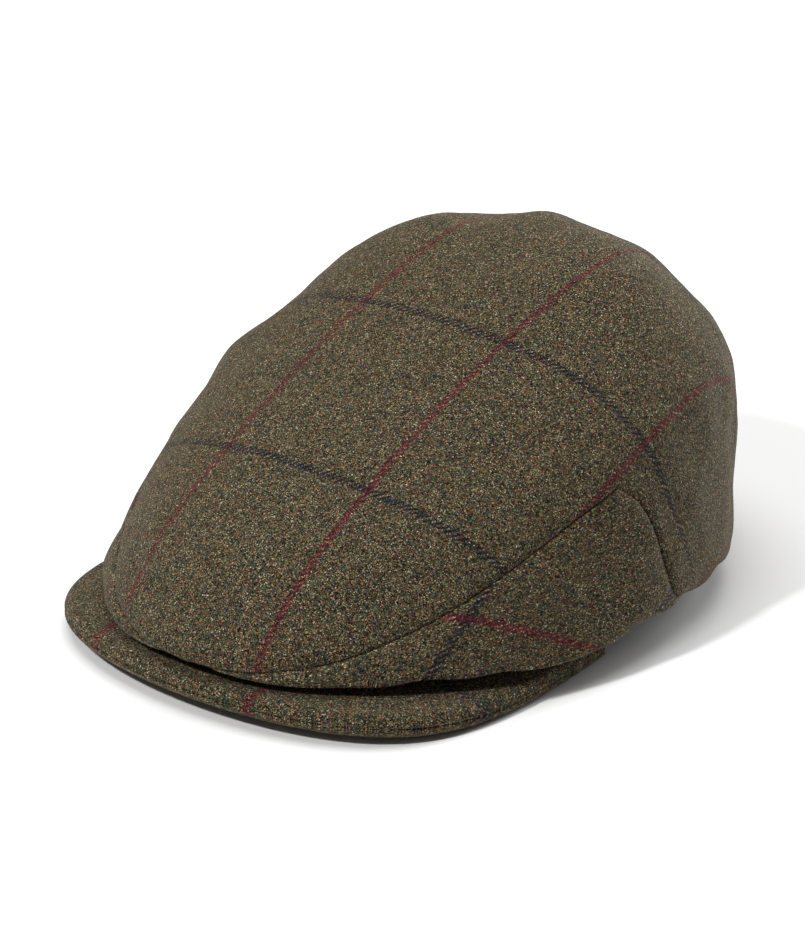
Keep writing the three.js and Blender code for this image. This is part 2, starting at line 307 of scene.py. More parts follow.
class Panel:
    """The vertices of one layer of a panel, as places on a dome, with the quads between them.

    rim lists its outer vertices in order, edge is each vertex's distance in millimetres from
    the panel's edge, and along is how far round the edge it is.
    """

    def __init__(self, dome, deg, t, quads, rim, edge, along):
        self.dome, self.deg, self.t = dome, deg, t
        self.quads, self.rim, self.edge, self.along = quads, rim, edge, along
        self.surface = dome.point(deg, t)
        self.normal = self.smooth_normals(self.surface)
        if dome is crown:
            rise = relief(self.surface) + (settled_move(SETTLED, deg, t) * self.normal).sum(-1)
            self.surface = self.surface + self.normal * rise[:, None]
            self.normal = self.smooth_normals(self.surface)

    def smooth_normals(self, points):
        a, b, c, d = (points[self.quads[:, k]] for k in range(4))
        face = np.cross(c - a, d - b)
        total = np.zeros_like(points)
        for k in range(4):
            for axis in range(3):
                total[:, axis] += np.bincount(self.quads[:, k], face[:, axis], len(points))
        return unit(total)


FINE_EDGE = np.array([0.0, 0.12, 0.3, 0.55, 0.9, 1.4, 2.1, 3.1, 4.5])
COARSE_EDGE = np.array([0.0, 4.0])
SEAM_SHARE, HALF_FRONT_SHARE = 0.11, 0.19   # of the top panel's outline: a back seam, half its front
SIDE_LENGTH, SIDE_HEIGHT = 165, 45          # about how large a side panel is, which spaces its grid


def edge_steps(length, count, fine):
    """Distances from an edge: the fine ones close to it, then even steps up to the length."""
    rest = count - len(fine)
    even = fine[-1] + (length[:, None] - fine[-1]) * np.arange(1, rest + 1) / rest
    return np.concatenate([np.broadcast_to(fine, (len(length), len(fine))), even], 1)


def top_panel(dome, split, side, rows, core, fine=FINE_EDGE):
    """The top-and-back panel: a square core of side x side cells about the pole, and rows that
    run from it out to the panel's edge. core is the core's radius, in rings."""
    half = np.arange(side + 1) * 2 / side - 1
    gx, gy = np.meshgrid(half, half)
    core_x, core_y = gx * np.sqrt(1 - gy ** 2 / 2), gy * np.sqrt(1 - gx ** 2 / 2)
    number = np.arange((side + 1) ** 2).reshape(side + 1, side + 1)
    quads = [np.stack([number[:-1, :-1], number[:-1, 1:], number[1:, 1:], number[1:, :-1]],
                      -1).reshape(-1, 4)]
    mid = side // 2
    loop = np.concatenate([number[-1, mid:0:-1], number[-1:0:-1, 0], number[0, :-1],
                           number[:-1, -1], number[-1, :mid:-1]])
    around = len(loop)

    seam = round(SEAM_SHARE * around)
    front = round(HALF_FRONT_SHARE * around) * 2
    hem = (around - front - 2 * seam) // 2
    up, back = np.arange(seam) / seam, np.arange(hem) / hem
    deg_front = mix(-CORNER_DEG, CORNER_DEG, np.arange(front) / front)
    deg = np.concatenate([mix(-180, -BACK_SEAM_DEG, back), -back_seam(up), deg_front,
                          back_seam(1 - up), mix(BACK_SEAM_DEG, 180, back)])
    t = np.concatenate([0 * back, split[1] * up, top_seam(split, deg_front),
                        split[1] * (1 - up), 0 * back])

    def plane(deg, t):
        r = dome.t_pole - t
        return np.stack([r * np.sin(np.radians(deg)), -r * np.cos(np.radians(deg))], -1)

    inner = core * np.stack([core_x, core_y], -1).reshape(-1, 2)
    outer = plane(deg, t)
    start = inner[loop]

    def place(xy):
        r = np.linalg.norm(xy, axis=-1)
        return np.degrees(np.arctan2(xy[..., 0], -xy[..., 1])), dome.t_pole - r

    probe = np.linspace(0, 1, 41)[:, None, None]
    track = dome.point(*place(mix(outer, start, probe)))
    walked = np.concatenate([np.zeros((1, around)),
                             np.cumsum(np.linalg.norm(np.diff(track, axis=0), axis=-1), 0)])
    wanted = edge_steps(walked[-1], rows, fine)
    share = np.stack([np.interp(wanted[j], walked[:, j], probe[:, 0, 0]) for j in range(around)])
    ring_xy = mix(outer[:, None], start[:, None], share[:, :-1, None])
    first = len(inner)
    ring = first + np.arange(around * (rows - 1)).reshape(around, rows - 1)
    grid = np.concatenate([ring, loop[:, None]], 1)
    after = np.roll(grid, -1, 0)
    quads.append(np.stack([grid[:, :-1], after[:, :-1], after[:, 1:], grid[:, 1:]],
                          -1).reshape(-1, 4))
    xy = np.concatenate([inner, ring_xy.reshape(-1, 2)])
    far = walked[-1].max()
    edge = np.concatenate([np.full(first, far), wanted[:, :-1].reshape(-1)])
    rim_step = np.linalg.norm(np.diff(track[0], axis=0), axis=-1)
    along = np.concatenate([np.zeros(first),
                            np.repeat(np.append(0, np.cumsum(rim_step)), rows - 1)])
    deg, t = place(xy)
    return Panel(dome, deg, np.clip(t, 0, dome.t_pole), np.concatenate(quads), grid[:, 0], edge,
                 along)


def side_panel(dome, split, columns, rows, side, fine=FINE_EDGE):
    """A side panel: side is +1 for the wearer's left and -1 for the right."""
    def spread(count, length):
        near = fine / length
        even = np.linspace(near[-1], 1 - near[-1], count - 2 * len(near) + 2)[1:-1]
        return np.concatenate([near, even, 1 - near[::-1]])

    u, v = spread(columns, SIDE_LENGTH), spread(rows, SIDE_HEIGHT)
    uu, vv = np.meshgrid(u, v)
    deg = side * uu * back_seam(vv)
    t = vv * top_seam(split, uu * CORNER_DEG)
    points = dome.point(deg, t)

    def walk(p, axis):
        step = np.linalg.norm(np.diff(p, axis=axis), axis=-1)
        start = np.zeros_like(step.take([0], axis))
        return np.concatenate([start, np.cumsum(step, axis)], axis)

    across, up = walk(points, 1), walk(points, 0)
    to_end, to_top = across[:, -1:] - across, up[-1:] - up
    edge = np.minimum.reduce([to_end, to_top, up])
    along = np.where(to_end < to_top, up, across)
    quads, rim = grid_quads(*uu.shape)
    if side < 0:
        quads = quads[:, ::-1]
    return Panel(dome, deg.ravel(), t.ravel(), quads, rim[::side], edge.ravel(), along.ravel())


def grid_quads(rows, columns):
    number = np.arange(rows * columns).reshape(rows, columns)
    quads = np.stack([number[:-1, :-1], number[:-1, 1:], number[1:, 1:], number[1:, :-1]], -1)
    rim = np.concatenate([number[0, :-1], number[:-1, -1], number[-1, :0:-1], number[:0:-1, 0]])
    return quads.reshape(-1, 4), rim


# ---- Closed pieces from two layers

def shell(name, outer, inner, quads, rim, uv):
    """A closed piece between two layers that share their quads; rim runs round their edge."""
    count = len(outer)
    after = np.roll(rim, -1)
    wall = np.stack([after, rim, rim + count, after + count], -1)
    faces = np.concatenate([quads, quads[:, ::-1] + count, wall])
    points = np.concatenate([outer, inner])
    a, b, c, d = (points[faces[:, k]] for k in range(4))
    volume = ((a * np.cross(b, c)).sum() + (a * np.cross(c, d)).sum()) / 6
    if volume < 0:
        faces = faces[:, ::-1]
    return make_mesh(name, points, faces, np.concatenate([uv, uv]))


def above_ground(points, lowest=0.05):
    points[:, 2] = np.maximum(points[:, 2], lowest)
    return points


# ---- Flattening a panel into its cloth's plane

def unrolled(panel):
    """A first guess at the flat cloth: each meridian laid out straight from the pole."""
    share = np.linspace(0, 1, 25)[:, None]
    track = panel.dome.point(panel.deg, mix(panel.dome.t_pole, panel.t, share))
    r = np.linalg.norm(np.diff(track, axis=0), axis=-1).sum(0)
    return np.stack([r * np.sin(np.radians(panel.deg)), -r * np.cos(np.radians(panel.deg))], -1)


def flatten(panel, steps=900):
    """Each vertex's place in the flat cloth, in millimetres: the panel's own springs settle in
    a plane, starting from the first guess."""
    quads = panel.quads
    links = np.concatenate([quads[:, [0, 1]], quads[:, [1, 2]], quads[:, [2, 3]], quads[:, [3, 0]],
                            quads[:, [0, 2]], quads[:, [1, 3]]])
    links = np.unique(np.sort(links, 1), axis=0)
    rest = np.linalg.norm(panel.surface[links[:, 0]] - panel.surface[links[:, 1]], axis=-1)
    flat = unrolled(panel)
    degree = np.bincount(links.ravel(), minlength=len(flat))[:, None]
    moving = np.zeros_like(flat)
    for _ in range(steps):
        gap = flat[links[:, 1]] - flat[links[:, 0]]
        length = np.linalg.norm(gap, axis=-1)
        pull = gap * ((1 - rest / np.maximum(length, 1e-6)) / 2)[:, None]
        move = np.stack([np.bincount(links[:, 0], pull[:, k], len(flat))
                         - np.bincount(links[:, 1], pull[:, k], len(flat)) for k in (0, 1)], -1)
        moving = 0.9 * moving + 1.2 * move / degree
        flat = flat + moving
    return flat


def carry_over(known_at, known, wanted_at):
    """Smooth values at new points from those at known points, by a cubic spline in space."""
    def basis(at):
        square = (at ** 2).sum(1)[:, None] + (known_at ** 2).sum(1) - 2 * at @ known_at.T
        return np.concatenate([np.maximum(square, 0) ** 1.5, np.ones((len(at), 1)), at], 1)

    count = len(known_at)
    left = np.zeros((count + 4, count + 4))
    left[:count] = basis(known_at)
    left[count:, :count] = left[:count, count:].T
    right = np.concatenate([known, np.zeros((4, known.shape[1]))])
    return basis(wanted_at) @ np.linalg.solve(left, right)


# The top panel's yarns. Crosswise ones lie in planes that lean like the spokes of a fan: each
# holds a point of the centreline and a foot below the cap. Lengthwise ones keep their distance
# from the centreline, measured along those planes.
FAN_FOOT = {"y": 62, "z": -40, "bend": 0.0018}
SPOKE_DEGREES = np.arange(0, 80.0)
DRIFT = {"size": 3.4, "y": 22, "over": 25, "fade": 70}   # how the lengthwise yarns wander


def centreline():
    front, back = np.linspace(1, crown.t_pole, 70), np.linspace(crown.t_pole, 0, 70)[1:]
    return np.concatenate([crown.point(0 * front, front), crown.point(0 * back + 180, back)])


def crown_tree():
    """A search tree of half the crown, without the part that is tucked under its front."""
    deg, t = np.meshgrid(np.linspace(-8, 188, 197), np.linspace(0, crown.t_pole, 121))
    quads, _ = grid_quads(*deg.shape)
    tucked = (t.ravel()[quads].max(1) < 1.01) & (deg.ravel()[quads].max(1) < BACK_SEAM_DEG)
    points = crown.point(deg, t).reshape(-1, 3)
    return BVHTree.FromPolygons(points.tolist(), quads[~tucked].tolist())


def top_cloth(points):
    """Places of the top panel's points in its flat cloth: across and along, in millimetres."""
    line = centreline()
    foot = np.stack([np.zeros(len(line)), FAN_FOOT["y"] - FAN_FOOT["bend"]
                     * (crown.rings[1]["back"] - line[:, 1]) ** 2,
                     np.full(len(line), FAN_FOOT["z"])], -1)
    spoke = unit(line - foot)
    onward = np.stack([spoke[:, 0], spoke[:, 2], -spoke[:, 1]], -1)
    tree = crown_tree()
    arc = np.zeros((len(line), len(SPOKE_DEGREES)))
    for k in range(len(line)):
        before, step = line[k], 0.0
        for n, degrees in enumerate(SPOKE_DEGREES[1:], 1):
            lean = math.radians(degrees)
            ray = spoke[k] * math.cos(lean) + np.array([math.sin(lean), 0, 0])
            hit = tree.ray_cast(foot[k].tolist(), ray.tolist())[0]
            if hit is not None:
                step = np.linalg.norm(np.array(hit) - before)
                before = np.array(hit)
            arc[k, n] = arc[k, n - 1] + step
    length = np.append(0, np.cumsum(np.linalg.norm(np.diff(line, axis=0), axis=-1)))

    ahead = points @ onward.T - (foot * onward).sum(1)
    k = np.clip((ahead > 0).sum(1) - 1, 0, len(line) - 2)
    row = np.arange(len(points))
    share = ahead[row, k] / (ahead[row, k] - ahead[row, k + 1])
    at = np.clip(k + share, 0, len(line) - 1.001)
    k, share = np.floor(at).astype(int), at - np.floor(at)
    base, direction = mix(foot[k], foot[k + 1], share[:, None]), mix(spoke[k], spoke[k + 1],
                                                                     share[:, None])
    lean = np.degrees(np.arctan2(np.abs(points[:, 0]), ((points - base) * direction).sum(1)))
    n = np.clip(np.floor(lean).astype(int), 0, len(SPOKE_DEGREES) - 2)
    low, high = (mix(arc[k + more, n], arc[k + more, n + 1], lean - n) for more in (0, 1))
    across = np.sign(points[:, 0]) * mix(low, high, share)
    drift = DRIFT["size"] * np.tanh((points[:, 1] - DRIFT["y"]) / DRIFT["over"])
    across -= drift * np.exp(-(across / DRIFT["fade"]) ** 2)
    return np.stack([across, mix(length[k], length[k + 1], share)], -1)


# The side panels' yarns: a crimson and a navy line cross at one place, and each runs through
# another; places are an angle from the front and a height in rings.
SIDE_CROSSING, SIDE_CRIMSON, SIDE_NAVY = (50.9, 1.6), (74.7, 1.0), (47.8, 1.3)


def side_cloth(panel, coarse, side):
    """Places of a side panel's points in its flat cloth, from the crossing of its lines."""
    flat = flatten(coarse)
    marks = crown.point(*(np.array(v) for v in zip(*(
        (side * deg, t) for deg, t in (SIDE_CROSSING, SIDE_CRIMSON, SIDE_NAVY)))))
    at, marks = (carry_over(coarse.surface, flat, points) for points in (panel.surface, marks))
    crimson, navy = unit(marks[1:] - marks[0])
    from_crimson = np.array([-crimson[1], crimson[0]])
    from_navy = np.array([-navy[1], navy[0]])
    return np.stack([(at - marks[0]) @ from_crimson, (at - marks[0]) @ from_navy], -1)


# ---- Crown and lining

ROLL = 1.2                       # radius of the rolled edge along a seam
SEAM_DIP = 0.9                   # how far the cloth dips towards a seam
DIP_WIDTH = 2.4
PUCKER = 0.10                    # height of the pucker beside a seam
PUCKER_STEP = 8.5


def seam_drop(edge, along):
    """How far the outer face lies under the smooth surface at a distance from the edge."""
    inside = np.clip(1 - edge / ROLL, 0, 1)
    roll = ROLL * (1 - np.sqrt(1 - inside ** 2))
    dip = SEAM_DIP * np.exp(-(edge / DIP_WIDTH) ** 2)
    wave = np.sin(2 * math.pi * along / PUCKER_STEP + 1.7 * np.sin(along / 23))
    return roll + dip + PUCKER * wave * np.exp(-edge / 4) * (1 - inside)


def crown_piece(name, panel, uv):
    drop = seam_drop(panel.edge, panel.along)
    outer = above_ground(panel.surface - panel.normal * drop[:, None])
    inner = above_ground(panel.surface - panel.normal * TWEED)
    return shell(name, outer, inner, panel.quads, panel.rim, uv)


def crown_pieces():
    top = top_panel(crown, CROWN_SPLIT, side=88, rows=52, core=1.7)
    pieces = [crown_piece("crown_top_cloth", top, top_cloth(top.surface))]
    for word, side in (("left", 1), ("right", -1)):
        panel = side_panel(crown, CROWN_SPLIT, columns=130, rows=54, side=side)
        coarse = side_panel(crown, CROWN_SPLIT, columns=44, rows=14, side=side,
                            fine=COARSE_EDGE)
        pieces.append(crown_piece(f"side_panel_{word}_cloth", panel,
                                  side_cloth(panel, coarse, side)))
    return pieces


crown_top, side_left, side_right = crown_pieces()
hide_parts("crown_top")
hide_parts("side_panel_left")
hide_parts("side_panel_right")


LINING_FOLD = 0.35               # height of the lining's folds
LINING_DIP = 0.4                 # how far it dips at its seams


def lining_pieces():
    """The satin lining, cut like the crown, with a few soft folds."""
    def folds(panel):
        x, y, z = panel.surface.T
        wave = np.sin(x / 9 + np.sin(y / 21)) * np.sin(y / 14 + 0.7) + np.sin((x + y + z) / 17)
        return LINING_FOLD * wave * np.clip(panel.edge / 10, 0, 1)

    def piece(name, panel):
        depth = folds(panel) + LINING_DIP * np.exp(-(panel.edge / 1.5) ** 2)
        outer = above_ground(panel.surface - panel.normal * depth[:, None])
        inner = above_ground(panel.surface - panel.normal * (depth + LINING)[:, None])
        return shell(name, outer, inner, panel.quads, panel.rim, panel.surface[:, :2])

    top = piece("lining_top_cloth", top_panel(lining, LINING_SPLIT, side=44, rows=26, core=1.2))
    left, right = (piece(f"lining_side_{word}_cloth",
                         side_panel(lining, LINING_SPLIT, columns=70, rows=26, side=side))
                   for word, side in (("left", 1), ("right", -1)))
    return top, left, right


lining_top, lining_left, lining_right = lining_pieces()
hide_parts("lining_top")
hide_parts("lining_side_left")
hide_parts("lining_side_right")


# ---- Open grids: sweatband, tape, labels and peak

def grid_shell(name, outer, inner, uv):
    quads, rim = grid_quads(*outer.shape[:2])
    flat = [np.asarray(a, float).reshape(-1, a.shape[-1]) for a in (outer, inner, uv)]
    return shell(name, flat[0], flat[1], quads, rim, flat[2])


BAND_FOOT = inset(HEM, BAND_INSET, -INSIDE_RISE)
BAND_TOP = {
    "front": BAND_FOOT["front"] + BAND_LEAN["front"],
    "back": BAND_FOOT["back"] - BAND_LEAN["side"],
    "half": BAND_FOOT["half"] - BAND_LEAN["side"],
    "wide": BAND_FOOT["wide"],
    "z": tuple(z + height for z, height in zip(BAND_FOOT["z"], BAND_HEIGHT)),
}
RIB_STEP = 1.3
RIB_HEIGHT = 0.14


def back_angle(width):
    """The angle that a width takes at the centre back."""
    return math.degrees(width / BAND_FOOT["half"])


def band_point(deg, high, depth):
    """A point this deep inside the band's outer face, at a share of its height."""
    foot, top = (ring_point(inset(ring, depth, 0), deg) for ring in (BAND_FOOT, BAND_TOP))
    return mix(foot, top, np.asarray(high)[..., None])


def band_patch(name, ends, heights, depth, thick, columns, rows, ribs=0.0):
    """A patch of the band with rounded edges and, on its inside, ribs across it."""
    u, v = np.linspace(0, 1, columns), np.linspace(0, 1, rows)
    uu, vv = np.meshgrid(u, v)
    deg = mix(ends[0], ends[1], uu)
    high = mix(heights[0], heights[1], vv)
    width = BAND_FOOT["half"] * math.radians(ends[1] - ends[0])
    tall = (heights[1] - heights[0]) * BAND_HEIGHT[1]
    edge = np.minimum(np.minimum(uu, 1 - uu) * width, np.minimum(vv, 1 - vv) * tall)
    round_off = 0.45 * thick * (1 - np.sqrt(1 - np.clip(1 - edge / (thick / 2), 0, 1) ** 2))
    rib = ribs * (0.5 + 0.5 * np.cos(2 * math.pi * uu * width / RIB_STEP))
    outer = np.stack([band_point(deg[k], high[k], depth) for k in range(rows)])
    inside = unit(band_point(deg, high, depth + 1) - outer)
    back = thick - round_off - rib
    return grid_shell(name, outer + inside * round_off[..., None],
                      outer + inside * back[..., None], np.stack([uu * width, vv * tall], -1))


ON_BAND = BAND + 0.5
HALF_SLIT = back_angle(BAND_SLIT) / 2
TAPE = {"half": 7, "thick": 0.8, "ribs": 0.1, "stitched_at": 5.5}
sweatband = band_patch("sweatband_ribbon", (180 + HALF_SLIT, 540 - HALF_SLIT), heights=(0, 1),
                       depth=0, thick=BAND, columns=2400, rows=12, ribs=RIB_HEIGHT)
tape = band_patch("sweatband_tape", (180 - back_angle(TAPE["half"]), 180 + back_angle(TAPE["half"])),
                  heights=(0.03, 0.97), depth=ON_BAND, thick=TAPE["thick"], columns=60, rows=40,
                  ribs=TAPE["ribs"])
size_label = band_patch("size_label_ribbon", (180 + back_angle(24), 180 + back_angle(40)),
                        heights=(0.15, 0.6), depth=ON_BAND, thick=LABEL, columns=40, rows=30)
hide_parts("sweatband")
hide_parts("sweatband_join_tape")
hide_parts("size_label")


LABEL_GAP = 1.6                  # between the lining and a label sewn on it
LABEL_SWELL = 0.35


def lining_patch(name, ends, heights, columns, rows):
    """A label on the lining's inside, with its edges a little lifted."""
    u, v = np.linspace(0, 1, columns), np.linspace(0, 1, rows)
    uu, vv = np.meshgrid(u, v)
    deg, t = mix(ends[0], ends[1], uu), mix(heights[0], heights[1], vv)
    surface, normal = lining.point(deg, t), lining.normal(deg, t)
    swell = LABEL_SWELL * np.sin(math.pi * uu) * np.sin(math.pi * vv)
    depth = LINING + LABEL_GAP + swell
    outer, inner = (surface - normal * (depth + more)[..., None] for more in (0, LABEL))
    across = np.linalg.norm(outer[0, -1] - outer[0, 0])
    tall = np.linalg.norm(outer[-1, 0] - outer[0, 0])
    return grid_shell(name, outer, inner, np.stack([uu * across, vv * tall], -1))


maker_label = lining_patch("maker_label_ribbon", (158, 202), (2.75, 3.15), columns=60, rows=30)
care_label = lining_patch("care_label_ribbon", (108, 120), (0.95, 1.7), columns=30, rows=40)
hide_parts("maker_label")
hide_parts("care_label")


# ---- Peak

def peak_half(s):
    return mix(PEAK["thick"], PEAK["corner_thick"], s ** 8) / 2


def peak_lift(y):
    tip_y = PEAK["corner_y"] - PEAK["length"]
    forward = np.maximum(PEAK["rest_y"] - y, 0) / (PEAK["rest_y"] - tip_y)
    rearward = np.maximum(y - PEAK["rest_y"], 0) / (PEAK["corner_y"] - PEAK["rest_y"])
    return PEAK["tip_lift"] * forward ** 1.5 + PEAK["corner_lift"] * rearward ** 2


def peak_outer(s):
    angle = math.pi / 2 * np.sign(s) * (1 - (1 - np.abs(s)) ** 2)
    y = PEAK["corner_y"] - PEAK["length"] * np.cos(angle) ** PEAK["square"]
    z = peak_lift(y) + peak_half(s) - PEAK["edge_drop"]
    return np.stack([PEAK["half"] * np.sin(angle), y, z], -1)


def hem_over_peak(s, inwards):
    """The crown's hem above the peak, moved inwards."""
    ring = inset(HEM, inwards, 0)
    corner = math.degrees(math.acos((ring["wide"] - PEAK["corner_y"])
                                    / (ring["wide"] - ring["front"])))
    return ring_point(ring, s * corner)


def peak_inner(s):
    p = hem_over_peak(s, PEAK["tuck"])
    p[..., 2] = mix(PEAK["inner_front_z"], PEAK["inner_corner_z"], s ** 2)
    return p


def peak_point(s, in_from_edge, height):
    """A point of the peak, so far in from its outer edge; its height counts from the middle of
    the thickness."""
    outer, inner = peak_outer(s), peak_inner(s)
    share = in_from_edge / np.linalg.norm(inner - outer, axis=-1)
    p = mix(outer, inner, share[..., None])
    p[..., 2] = mix(outer[..., 2], inner[..., 2], np.maximum(share, 0) ** 1.5)
    p[..., 2] += height * peak_half(s) / peak_half(0)
    return p


PEAK_COLUMNS = 300
PEAK_END = 0.985                 # how near the covers come to the peak's corners
PEAK_STRETCH = 0.87              # the peak's cloth is stretched across, by the inverse of this
PEAK_SEAM = 0.12                 # half the gap between the covers at the edge
PEAK_SEAM_DIP = 0.55             # how far the covers roll in at the edge seam
DIP_REACH = 0.55                 # how far from that seam they begin to


def peak_cover(name, side):
    """One cover of the padded peak: flat inside, then round to the seam at the edge's middle."""
    s = np.linspace(-PEAK_END, PEAK_END, PEAK_COLUMNS)
    centre = PEAK["thick"] / 2
    width = np.linalg.norm(peak_inner(s) - peak_outer(s), axis=-1)
    flat = np.linspace(1, 0.04, 34)
    turn = np.linspace(0, 1, 26) ** 0.8

    def skin(half):
        last = math.acos(PEAK_SEAM / half)
        rows = [peak_point(s, mix(centre, width, share), side * half) for share in flat]
        for u in turn:
            from_seam = (1 - u) * last * half
            dip = PEAK_SEAM_DIP * np.exp(-(from_seam / DIP_REACH) ** 2) if half == centre else 0
            reach = half - dip
            rows.append(peak_point(s, centre - reach * math.sin(u * last),
                                   side * max(reach * math.cos(u * last), PEAK_SEAM)))
        return np.stack(rows)

    outer, inner = skin(centre), skin(centre - PEAK["cover"])
    step = np.linalg.norm(np.diff(outer, axis=0), axis=-1)
    reach = np.concatenate([np.zeros((1, PEAK_COLUMNS)), np.cumsum(step, 0)])
    plan = unit((peak_outer(s) - peak_inner(s))[:, :2])
    uv = (outer[:1, :, :2] + plan * reach[..., None]) * (PEAK_STRETCH, 1)
    for points in (outer, inner):
        points[..., 2] = np.maximum(points[..., 2], 0.02)
    return grid_shell(name, outer, inner, uv)


peak_top = peak_cover("peak_cover_top_cloth", 1)
peak_under = peak_cover("peak_cover_under_cloth", -1)
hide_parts("peak_cover_top")
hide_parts("peak_cover_under")


UPSTAND = {"in": 2.9, "over": 0.6, "thick": 0.5, "rows": 6, "end": 0.97}


def peak_upstand():
    """The covers' seam allowance, turned up behind the crown's hem: it shuts the crease there."""
    s = np.linspace(-UPSTAND["end"], UPSTAND["end"], PEAK_COLUMNS)
    across = peak_inner(s) - peak_outer(s)
    foot = peak_point(s, np.linalg.norm(across, axis=-1) - UPSTAND["in"], PEAK["thick"] / 2)
    top = hem_over_peak(s, 0)[:, 2] + UPSTAND["over"]
    up = np.linspace(0, 1, UPSTAND["rows"])[:, None]
    outer = np.repeat(foot[None], UPSTAND["rows"], 0)
    outer[..., 2] = mix(foot[:, 2] + 0.05, top, up)
    inwards = unit(across * (1, 1, 0))
    along = np.append(0, np.cumsum(np.linalg.norm(np.diff(foot, axis=0), axis=-1)))
    uv = np.stack(np.broadcast_arrays(along, outer[..., 2]), -1)
    return grid_shell("peak_upstand_cloth", outer, outer + inwards * UPSTAND["thick"], uv)


upstand = peak_upstand()


# ---- Stitching

def stitches(name, path, normal, length=2.4, pitch=3.2, radius=0.16):
    """A row of thread stitches along a path, each a short bead that arches out of the cloth."""
    step = np.linalg.norm(np.diff(path, axis=0), axis=-1)
    walked = np.append(0, np.cumsum(step))
    sides, rings = 6, 7
    turn = np.linspace(0, 2 * math.pi, sides, endpoint=False)
    points, faces = [], []
    for start in np.arange(pitch / 2, walked[-1] - length, pitch):
        at = start + np.linspace(0, length, rings)
        line = np.stack([np.interp(at, walked, path[:, k]) for k in range(3)], -1)
        out = unit(np.stack([np.interp(at, walked, normal[:, k]) for k in range(3)], -1))
        forward = unit(np.gradient(line, axis=0))
        beside = np.cross(forward, out)
        arch = np.sin(np.linspace(0, math.pi, rings))
        line = line + out * (radius * 1.3 * arch)[:, None]
        size = radius * (0.35 + 0.65 * arch)
        first = len(points) * rings * sides
        ring = (line[:, None] + size[:, None, None]
                * (np.cos(turn)[None, :, None] * beside[:, None] + np.sin(turn)[None, :, None]
                   * out[:, None]))
        points.append(ring.reshape(-1, 3))
        for i in range(rings - 1):
            for j in range(sides):
                k = (j + 1) % sides
                a, b = first + i * sides + j, first + i * sides + k
                faces.append((a, b, b + sides, a + sides))
        faces.append(tuple(first + j for j in reversed(range(sides))))
        faces.append(tuple(first + (rings - 1) * sides + j for j in range(sides)))
    return make_mesh(name, np.concatenate(points), faces)


def stitch_on_band(name, deg, high, depth):
    path = band_point(deg, high, depth)
    return stitches(name, path, unit(band_point(deg, high, depth + 1) - path))


ALL_ROUND = np.linspace(180 + 2 * HALF_SLIT, 540 - 2 * HALF_SLIT, 700)
UPRIGHT = np.linspace(0.06, 0.94, 40)
band_stitches = stitch_on_band("sweatband_stitches", ALL_ROUND, np.full(len(ALL_ROUND), 0.09), BAND)
tape_stitches = [stitch_on_band(f"tape_stitches_{word}",
                                np.full(len(UPRIGHT), 180 + back_angle(side * TAPE["stitched_at"])),
                                UPRIGHT, ON_BAND + TAPE["thick"])
                 for word, side in (("left", -1), ("right", 1))]


# ---- Materials

class Shader:
    """A material's node tree, with one short call for each kind of node."""

    def __init__(self, name):
        self.material = bpy.data.materials.new(name)
        self.material.use_nodes = True
        self.tree = self.material.node_tree
        self.surface = self.tree.nodes["Principled BSDF"]

    def add(self, kind, sockets=(), **settings):
        node = self.tree.nodes.new(kind)
        for key, value in settings.items():
            setattr(node, key, value)
        for key, value in dict(sockets).items():
            self.put(node.inputs[key], value)
        return node

    def put(self, socket, value):
        if isinstance(value, bpy.types.NodeSocket):
            self.tree.links.new(value, socket)
        else:
            socket.default_value = value

    def math(self, operation, *values):
        node = self.add("ShaderNodeMath", operation=operation)
        for socket, value in zip(node.inputs, values):
            self.put(socket, value)
        return node.outputs[0]

    def combine(self, x, y, z=0.0):
        return self.add("ShaderNodeCombineXYZ", {"X": x, "Y": y, "Z": z}).outputs[0]

    def blend(self, share, a, b, kind="MIX"):
        node = self.add("ShaderNodeMix", data_type="RGBA", blend_type=kind)
        self.put(node.inputs["Factor"], share)
        self.put(node.inputs[6], a)
        self.put(node.inputs[7], b)
        return node.outputs[2]

    def ramp(self, value, stops, interpolation="LINEAR"):
        node = self.add("ShaderNodeValToRGB", {"Fac": value})
        node.color_ramp.interpolation = interpolation
        elements = node.color_ramp.elements
        while len(elements) < len(stops):
            elements.new(0.5)
        for element, (place, colour) in zip(elements, stops):
            element.position = place
            element.color = (*colour, 1)
        return node.outputs[0]

    def noise(self, vector, scale, detail=2.0, output=0):
        node = self.add("ShaderNodeTexNoise", {"Vector": vector, "Scale": scale, "Detail": detail})
        return node.outputs[output]

    def chance(self, vector):
        """A random number from 0 to 1, the same wherever the vector is the same."""
        return self.add("ShaderNodeTexWhiteNoise", {"Vector": vector}).outputs[0]

    def cloth(self):
        """The cloth's own coordinates, in millimetres."""
        uv = self.add("ShaderNodeUVMap", uv_map="cloth").outputs[0]
        split = self.add("ShaderNodeSeparateXYZ", {"Vector": uv})
        return uv, split.outputs[0], split.outputs[1]

    def bump(self, height, distance, strength=1.0):
        node = self.add("ShaderNodeBump", {"Height": height, "Distance": distance,
                                           "Strength": strength})
        self.put(self.surface.inputs["Normal"], node.outputs[0])

    def finish(self, **values):
        for name, value in values.items():
            self.put(self.surface.inputs[name.replace("_", " ")], value)
        return self.material


def srgb(r, g, b):
    """A colour given as 0 to 255 on a screen, as the shader takes it."""
    return tuple(((c / 255 + 0.055) / 1.055) ** 2.4 if c > 10 else c / 255 / 12.92
                 for c in (r, g, b))


YARN = 0.6                       # from one yarn to the next, in millimetres
FLECK = 0.36                     # the size of one fleck of colour
RUN = 1.3                        # how far a yarn keeps its own shade
WOBBLE = 0.9                     # how far the yarns wander
LINE_WIDTH = 3.0                 # five yarns
CRIMSON_STEP = 60                # from one lengthwise line to the next
NAVY_STEP = 75.5                 # from one crosswise line to the next
SIDE_NAVY_STEP = 59.5            # the same on the side panels, which are cut askew

